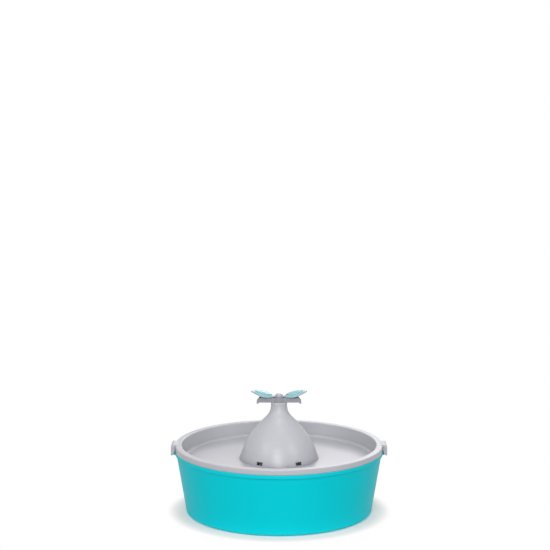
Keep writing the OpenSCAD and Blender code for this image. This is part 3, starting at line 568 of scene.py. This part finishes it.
whitePlastic = {"rough": 0.36, "grain": 0.6, "spread": 0.02}
leafPlastic = {"colour": (0.24, 0.48, 0.52), "rough": 0.22, "grain": 0.4}
blackPlastic = {"rough": 0.4, "grain": 0.6, "spread": 0.08, "wear": 0.03}
finishes = {
    "bowl": moulded(
        "bowlPlastic", (0.0, 0.55, 0.62), 0.42, 0.8, 0.03, wear=0.008, edge=1.2, shine=0.08,
    ),
    # the dish's wide painted shade darkens the crevice under its lip and its other corners
    "dish": moulded(
        "dishPlastic", (0.42, 0.42, 0.455), 0.34, 0.7, edge=2.0, paintedShade=0.9, reach=9.0,
    ),
    "topper_stem": moulded(
        "stemPlastic", (0.26, 0.26, 0.292), 0.32, 0.5, paintedShade=0.6, reach=2.0, lines=paintLeafToneAndHighlight,
    ),
    "topper_cap": moulded("capPlastic", (0.36, 0.36, 0.4), 0.26, 0.5),
    "left_wing": moulded("leftWingPlastic", **leafPlastic),
    "right_wing": moulded("rightWingPlastic", **leafPlastic),
    "filter_housing": moulded("housingPlastic", (0.9, 0.9, 0.92), **whitePlastic),
    "filter_cup": moulded("cupPlastic", (0.86, 0.86, 0.88), **whitePlastic),
    "cartridge_shell": moulded("shellPlastic", (0.81, 0.81, 0.83), 0.42, 0.8, 0.02),
    "intake_cover": moulded(
        "coverPlastic", (0.004, 0.56, 0.76), 0.22, 0.4, edge=0.8, shine=0.2,
    ),
    "pump_case": moulded(
        "casePlastic", (0.04, 0.036, 0.04), 0.15, 0.5, 0.1, wear=0.03, edge=1.2, shine=0.6,
        paintedShade=0.9, reach=1.5, lines=linesOnCase,
    ),
    "chamber_plate": moulded("platePlastic", (0.012, 0.012, 0.012), **blackPlastic),
    "rear_cap": moulded("rearPlastic", (0.045, 0.042, 0.046), **blackPlastic),
    "coil_tie": moulded("tiePlastic", (0.02, 0.02, 0.02), **{**blackPlastic, "rough": 0.5}),
    "impeller": moulded("impellerPlastic", (0.8, 0.8, 0.8), 0.35, 0.5, 0.03),
    "foot_pads": rubbery("padRubber", (0.05, 0.05, 0.05)),
    "suction_feet": rubbery("suctionRubber", (0.016, 0.016, 0.017), 0.35),
    "shaft_bushes": rubbery("bushRubber", (0.02, 0.02, 0.02)),
    "strain_relief": rubbery("reliefRubber", (0.018, 0.018, 0.02)),
    "cord_grommet": rubbery("grommetRubber", (0.78, 0.78, 0.8)),
    "nozzle_seal": rubbery("nozzleSealRubber", (0.4, 0.4, 0.42), 0.4),
    "collar_seal": rubbery("collarSealRubber", (0.4, 0.4, 0.42), 0.4),
}

coal = {
    "lumps": 620, "contrast": 900, "fine": 900, "rough": (0.5, 0.3), "relief": -400, "depth": 0.4,
    "shades": ((0.008, 0.008, 0.008), (0.05, 0.05, 0.052)),
}
f = Finish("carbonGrain")
lumps = f.cells(coal["lumps"])
rough, uneven = coal["rough"]
finishes["carbon_media"] = f.done(
    f.tint(lumps * coal["contrast"], *coal["shades"]),
    rough + f.noise(coal["fine"]) * uneven, lumps * coal["relief"], coal["depth"],
)


inner = {  # noise scale and detail, both shades, roughness and its spread, depth, metallic
    "pump_shaft": (
        "shaftCeramic", 420, 5, (0.84, 0.83, 0.8), (0.92, 0.92, 0.9), 0.12, 0.08, 0.01, 0.0,
    ),
    "stator_core": (
        "coreSteel", 160, 6, (0.28, 0.27, 0.27), (0.48, 0.48, 0.5), 0.3, 0.2, 0.04, 1.0,
    ),
    "stator_coil": (
        "windingCopper", 200, 4, (0.5, 0.19, 0.08), (0.72, 0.34, 0.15), 0.25, 0.15, 0.1, 1.0,
    ),
    "rotor_magnet": (
        "magnetFerrite", 900, 6, (0.05, 0.05, 0.055), (0.13, 0.13, 0.14), 0.35, 0.25, 0.05, 0.6,
    ),
}
layers = {"stator_core": ("Y", 0.5), "stator_coil": ("X", 0.4)}  # sheets and wires: axis, pitch
gaps = {"band": (0.5, 1.0), "amount": 0.6, "shade": (0.12, 0.11, 0.1)}  # between the sheets
chipped = {"edge": 0.3, "amount": 0.3}  # the magnet's edges
for node, (name, scale, fine, first, second, rough, uneven, depth, metal) in inner.items():
    f = Finish(name)
    mottle = f.noise(scale, fine)
    edges = f.edges(chipped["edge"] * mm) * chipped["amount"] if node == "rotor_magnet" else 0.0
    base = f.tint(mottle + edges, first, second)
    relief = mottle
    if node in layers:
        axis, pitch = layers[node]
        relief = (f.part(f.place, axis) * (2 * math.pi / (pitch * mm))).sine()
    if node == "stator_core":
        base = f.tint(f.band(relief, *gaps["band"]) * gaps["amount"], base, gaps["shade"])
    finishes[node] = f.done(base, rough + mottle * uneven, relief, depth, Metallic=metal)
resin = {
    "bubbles": 480, "bubbleBand": (0.0004, 0.0009), "depth": 0.1, "cloud": 120, "fine": 300,
    "rough": (0.2, 0.1), "shades": ((0.02, 0.035, 0.035), (0.05, 0.075, 0.075)),
}
f = Finish("pottingResin")
bubbles = f.band(f.cells(resin["bubbles"]), *resin["bubbleBand"])
rough, uneven = resin["rough"]
finishes["potting"] = f.done(
    f.tint(f.noise(resin["cloud"], 4), *resin["shades"]),
    rough + f.noise(resin["fine"]) * uneven, bubbles, resin["depth"],
)
for name, material in finishes.items():
    for slot in nodes[name].material_slots:
        slot.material = material
print("finishes:", len(finishes))

# the plug on the cord's end: a grooved grip, a collar and a bored metal pin
plugShape = {  # pairs of a place along the plug and a radius, or its difference
    "start": 54.09, "middle": (150, 4.2), "sides": 40, "sharp": 40,
    "entry": [(0, 0), (0, 1.9), (0.3, 2.15)],
    "grooves": 6, "grooveStart": (0.9, 2.3), "grooveStep": (0.8, 0.22),
    "groove": [(0, 0), (0.15, -0.45), (0.35, -0.45), (0.5, 0.1)],
    "radius": 4.2,
    "grip": [
        (6.2, -0.5), (6.8, -0.1), (7.2, 0), (11.0, 0), (11.3, -0.3),
        (11.8, -0.3), (12.1, 0), (14.6, 0), (15, -0.4),
    ],
    "pin": [(15, 2.75), (24.2, 2.75), (24.5, 2.5)],
    "bore": 1.25,
    "mouth": [(24.5, 0.6), (24.4, 0.1), (24.3, 0), (16, 0)],
}


# a profile turned round X, each of whose points has the number of its material
def spun(name, profile, middle, sides, sharp, *materials):
    shape = bmesh.new()
    rings = []
    for x, radius, number in profile:
        turns = [2 * math.pi * k / sides for k in range(sides if radius else 1)]
        rings.append(([
            shape.verts.new((x, middle[0] + radius * math.cos(t), middle[1] + radius * math.sin(t)))
            for t in turns
        ], number))
    for (first, number), (second, _) in zip(rings, rings[1:]):
        for k in range(sides):
            corners = {first[k % len(first)]: 0, first[(k + 1) % len(first)]: 0}
            corners |= {second[(k + 1) % len(second)]: 0, second[k % len(second)]: 0}
            if len(corners) > 2:
                shape.faces.new(list(corners)).material_index = number
    for vert in shape.verts:
        vert.co *= mm
    return link(name, meshFrom(name, shape, sharp), *materials)


def plugProfile():
    p = plugShape
    start, bore = p["start"], p["bore"]
    (near, out), (stepX, stepR) = p["grooveStart"], p["grooveStep"]
    profile = [(start + x, r, 0) for x, r in p["entry"]]
    for i in range(p["grooves"]):
        foot, wide = start + near + i * stepX, out + i * stepR
        profile += [(foot + x, wide + r, 0) for x, r in p["groove"]]
    profile += [(start + x, p["radius"] + r, 0) for x, r in p["grip"]]
    profile += [(start + x, r, 1) for x, r in p["pin"]]
    profile += [(start + x, bore + r, 0) for x, r in p["mouth"]]
    return profile + [(start + p["mouth"][-1][0], 0, 0)]


nickel = {
    "scale": 300, "along": (0.1, 3, 3), "shades": ((0.6, 0.58, 0.54), (0.75, 0.73, 0.7)),
    "rough": (0.2, 0.15), "depth": 0.01,
}
f = Finish("pinNickel")
brushed = f.noise(nickel["scale"], 3, f.stretched(*nickel["along"]))
rough, uneven = nickel["rough"]
pinMetal = f.done(
    f.tint(brushed, *nickel["shades"]), rough + brushed * uneven, brushed, nickel["depth"],
    Metallic=1.0,
)
plugPlastic = moulded("plugPlastic", (0.02, 0.02, 0.02), 0.45, 0.7, 0.1, wear=0.04)
plug = spun(
    "powerPlug", plugProfile(), plugShape["middle"], plugShape["sides"], plugShape["sharp"],
    plugPlastic, pinMetal,
)

# the foam sleeve: the node's form, remeshed, with dents and creases
foamShape = {  # in millimetres
    "voxel": 1.0,
    "rounding": (0.5, 10),  # strength and repeats
    "dent": 1.8,
    "dentSizes": (17, 6),
    "dentAmounts": (0.6, 0.25, 0.5),  # of the wide noise, the small one, and everywhere
    "crease": 1.4,
    "creaseSizes": (11, 11, 20),
    "creaseShift": (7, 3, 1),
    "sharpness": 9,
    "patch": 24,  # size of the areas that have creases
    "patchShift": (3, 9, 2),
    "patchBand": (4, 0.3),  # how sharply they end, and how much they cover
    "foot": 3,  # height over which the dents begin
}


def foamPiece():
    s = foamShape
    shape = bmesh.new()
    shape.from_mesh(nodes["foam_filter"].data)
    piece = link("foamSleeve", meshFrom("foamSleeve", shape))
    remesh = piece.modifiers.new("remesh", "REMESH")
    remesh.mode, remesh.voxel_size = "VOXEL", s["voxel"] * mm
    rounding = piece.modifiers.new("rounding", "SMOOTH")
    rounding.factor, rounding.iterations = s["rounding"]
    made = settled(piece)
    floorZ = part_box("foam_filter")[0].z / mm
    shape = bmesh.new()
    shape.from_mesh(made)
    shape.normal_update()
    moves = []
    wide, small = s["dentSizes"]
    wideAmount, smallAmount, always = s["dentAmounts"]
    sharp, cover = s["patchBand"]
    patchShift, creaseShift = Vector(s["patchShift"]), Vector(s["creaseShift"])
    for vert in shape.verts:
        place = vert.co / mm
        soft = noise.noise(place / wide) * wideAmount + always
        soft += smallAmount * noise.noise(place / small)
        folded = ease(noise.noise(place / s["patch"] + patchShift) * sharp + cover)
        scaled = Vector([part / size for part, size in zip(place, s["creaseSizes"])])
        fold = max(0, 1 - abs(noise.noise(scaled + creaseShift)) * s["sharpness"])
        grounded = ease((place.z - floorZ) / s["foot"])
        sink = (s["dent"] * max(soft, 0) + s["crease"] * fold * folded) * grounded
        moves.append(-vert.normal * sink * mm)
    for vert, move in zip(shape.verts, moves):
        vert.co += move
    shape.to_mesh(made)
    shape.free()
    smooth(made)
    return piece


foamLook = {
    "pores": 1000, "poreBand": (0.0, 0.75), "poreShade": (0.95, 0.95, 0.95),
    "soil": 45, "soilBand": (0.45, 0.7), "shades": ((0.83, 0.83, 0.83), (0.72, 0.72, 0.71)),
    "amount": 0.35, "fuzz": 1500, "fuzzAmount": 0.4, "depth": 0.2, "rough": (0.85, 0.1),
}
f, s = Finish("foamCells"), foamLook
pores = f.band(f.cells(s["pores"]), *s["poreBand"])
soil = f.band(f.noise(s["soil"], 5), *s["soilBand"])
base = f.tint(soil * s["amount"], *s["shades"])
# painted shade: the pores' middles stay darker than the cell walls
base = f.tint(pores * s["amount"], base, s["poreShade"])
rough, uneven = s["rough"]
height = pores + f.noise(s["fuzz"], 3) * s["fuzzAmount"]
foamWhite = f.done(base, rough + soil * uneven, height, s["depth"])
foam = foamPiece()
foam.data.materials.append(foamWhite)
print("foam:", len(foam.data.polygons), "faces")


class Growth(Graph):  # a geometry node tree with named inputs
    def __init__(self, name, inputs):
        super().__init__(bpy.data.node_groups.new(name, "GeometryNodeTree"))
        interface = self.tree.interface
        interface.new_socket("Geometry", in_out="INPUT", socket_type="NodeSocketGeometry")
        self.sockets = []
        for key, value in inputs.items():
            kind = "NodeSocketInt" if isinstance(value, int) else "NodeSocketFloat"
            socket = interface.new_socket(key, in_out="INPUT", socket_type=kind)
            self.sockets.append((socket, value))
        interface.new_socket("Geometry", in_out="OUTPUT", socket_type="NodeSocketGeometry")
        given = self.tree.nodes.new("NodeGroupInput")
        self.base = Value(self, given.outputs[0])
        self.given = {key: Value(self, given.outputs[key]) for key in inputs}

    def ring(self, resolution, radius):
        values = {"Resolution": resolution, "Radius": radius}
        return self.node("GeometryNodeCurvePrimitiveCircle", None, values)

    def grow(self, name, shape, mesh, material):
        whole = self.node("GeometryNodeRealizeInstances", None, {"Geometry": shape})
        values = {"Geometry": whole, "Material": material}
        dressed = self.node("GeometryNodeSetMaterial", None, values)
        self.node("NodeGroupOutput", None, {0: dressed})
        host = link(name, mesh)
        modifier = host.modifiers.new("grow", "NODES")
        modifier.node_group = self.tree
        for socket, value in self.sockets:
            modifier[socket.identifier] = value
        settled(host)
        return host


def disc(name, middle, z, radius, sides):
    shape = bmesh.new()
    bmesh.ops.create_circle(shape, cap_ends=True, segments=sides, radius=radius)
    for vert in shape.verts:
        vert.co += Vector((middle.x, middle.y, z))
    mesh = bpy.data.meshes.new(name)
    shape.to_mesh(mesh)
    shape.free()
    return mesh


netShape = {
    "spacing": 1.7,
    "strand": 0.34,  # radius of a strand against the screen's height
    "rim": 1.4,  # radius of the rim, its place and the lift of the upper rows, against a strand
    "inset": 1.2,
    "lift": 0.9,
    "strandSides": 6, "rimSides": 8, "rimSegments": 64, "sharp": 50,
}


def strandNet(name, node, material):
    low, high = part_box(node)
    middle, radius = (low + high) / 2, (high.x - low.x) / 2
    s = netShape
    strand = s["strand"] * (high.z - low.z)
    inputs = {
        "radius": radius - strand * s["inset"], "spacing": s["spacing"] * mm,
        "strand": strand, "rim": strand * s["rim"],
    }
    g = Growth(name + "Net", inputs)
    v = g.given
    count = g.node("ShaderNodeMath", {"operation": "FLOOR"}, {0: v["radius"] * 2 / v["spacing"]})
    start = g.vector(0.0, v["spacing"] * (count - 1) * -0.5, 0.0)
    line = {"Count": count, "Start Location": start, "Offset": g.vector(0.0, v["spacing"], 0.0)}
    points = g.node("GeometryNodeMeshLine", {"mode": "OFFSET"}, line)
    away = g.part(g.node("GeometryNodeInputPosition"), "Y")
    half = (v["radius"] * v["radius"] - away * away).root()
    ends = {"Start": (-1, 0, 0), "End": (1, 0, 0)}
    run = g.node("GeometryNodeCurvePrimitiveLine", None, ends)
    placed = {"Points": points, "Instance": run, "Scale": g.vector(half, 1.0, 1.0)}
    rows = g.node("GeometryNodeInstanceOnPoints", None, placed)
    rows = g.node("GeometryNodeRealizeInstances", None, {"Geometry": rows})
    profile = g.ring(s["strandSides"], v["strand"])
    swept = {"Curve": rows, "Profile Curve": profile, "Fill Caps": True}
    rows = g.node("GeometryNodeCurveToMesh", None, swept)
    lift = g.vector(0.0, 0.0, v["strand"] * s["lift"])
    turn = {"Geometry": rows, "Rotation": (0, 0, math.pi / 2), "Translation": lift}
    turned = g.node("GeometryNodeTransform", None, turn)
    swept = {
        "Curve": g.ring(s["rimSegments"], v["radius"]),
        "Profile Curve": g.ring(s["rimSides"], v["rim"]),
    }
    rim = g.node("GeometryNodeCurveToMesh", None, swept)
    whole = g.node("GeometryNodeJoinGeometry", None, {"Geometry": [rows, turned, rim]})
    moved = {"Geometry": whole, "Translation": tuple(middle)}
    whole = g.node("GeometryNodeTransform", None, moved)
    piece = g.grow(name, whole, bpy.data.meshes.new(name), material)
    smooth(piece.data, s["sharp"])
    return piece


screenPlastic = moulded("screenPlastic", (0.4, 0.4, 0.43), 0.45, 0.5)
topNet = strandNet("topNet", "top_screen", screenPlastic)
bottomNet = strandNet("bottomNet", "bottom_screen", screenPlastic)
print("nets:", len(topNet.data.polygons), len(bottomNet.data.polygons), "faces")


granuleShape = {
    "spacing": 1.15, "smallest": 0.4, "largest": 0.75, "seed": 4,
    "density": 900000.0, "flat": 0.5, "turn": 6.28,
    "margin": 1.2,  # bare edge of the bed
    "rim": 0.1,  # points this near the top belong to it
    "sides": 48,
}


def granules():
    s = granuleShape
    low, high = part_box("carbon_media")
    middle = (low + high) / 2
    bed = nodes["carbon_media"].data.vertices
    top = [vert.co for vert in bed if vert.co.z > high.z - s["rim"] * mm]
    radius = max(math.hypot(point.x - middle.x, point.y - middle.y) for point in top)
    inputs = {key: s[key] * mm for key in ("spacing", "smallest", "largest")}
    g = Growth("carbonGranules", {**inputs, "seed": s["seed"]})
    v = g.given
    points = g.node(
        "GeometryNodeDistributePointsOnFaces", {"distribute_method": "POISSON"},
        {
            "Mesh": g.base, "Distance Min": v["spacing"], "Density Max": s["density"],
            "Seed": v["seed"],
        },
    )
    stone = g.node("GeometryNodeMeshIcoSphere", None, {"Radius": 1.0, "Subdivisions": 1})
    sizes = g.node(
        "FunctionNodeRandomValue", {"data_type": "FLOAT"},
        {2: v["smallest"], 3: v["largest"], "Seed": v["seed"]}, 1,
    )
    turns = g.node(
        "FunctionNodeRandomValue", {"data_type": "FLOAT_VECTOR"},
        {0: (0, 0, 0), 1: (s["turn"], s["turn"], s["turn"]), "Seed": v["seed"]},
    )
    scale = g.vector(sizes, sizes, sizes * s["flat"])
    stones = g.node(
        "GeometryNodeInstanceOnPoints", None,
        {"Points": points, "Instance": stone, "Rotation": turns, "Scale": scale},
    )
    ground = disc("carbonTop", middle, high.z, radius - s["margin"] * mm, s["sides"])
    return g.grow("carbonGranules", stones, ground, finishes["carbon_media"])


stones = granules()
print("granules:", len(stones.data.polygons), "faces")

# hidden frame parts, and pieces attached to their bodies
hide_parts("cord_lead", "cord_coil", "cord_tail")
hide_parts("dc_connector")
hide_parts("foam_filter")
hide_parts("top_screen")
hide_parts("bottom_screen")
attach(plug, "bowl")
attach(foam, "foam")
for piece in (topNet, bottomNet, stones):
    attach(piece, "cartridge")
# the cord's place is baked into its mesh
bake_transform(cord)
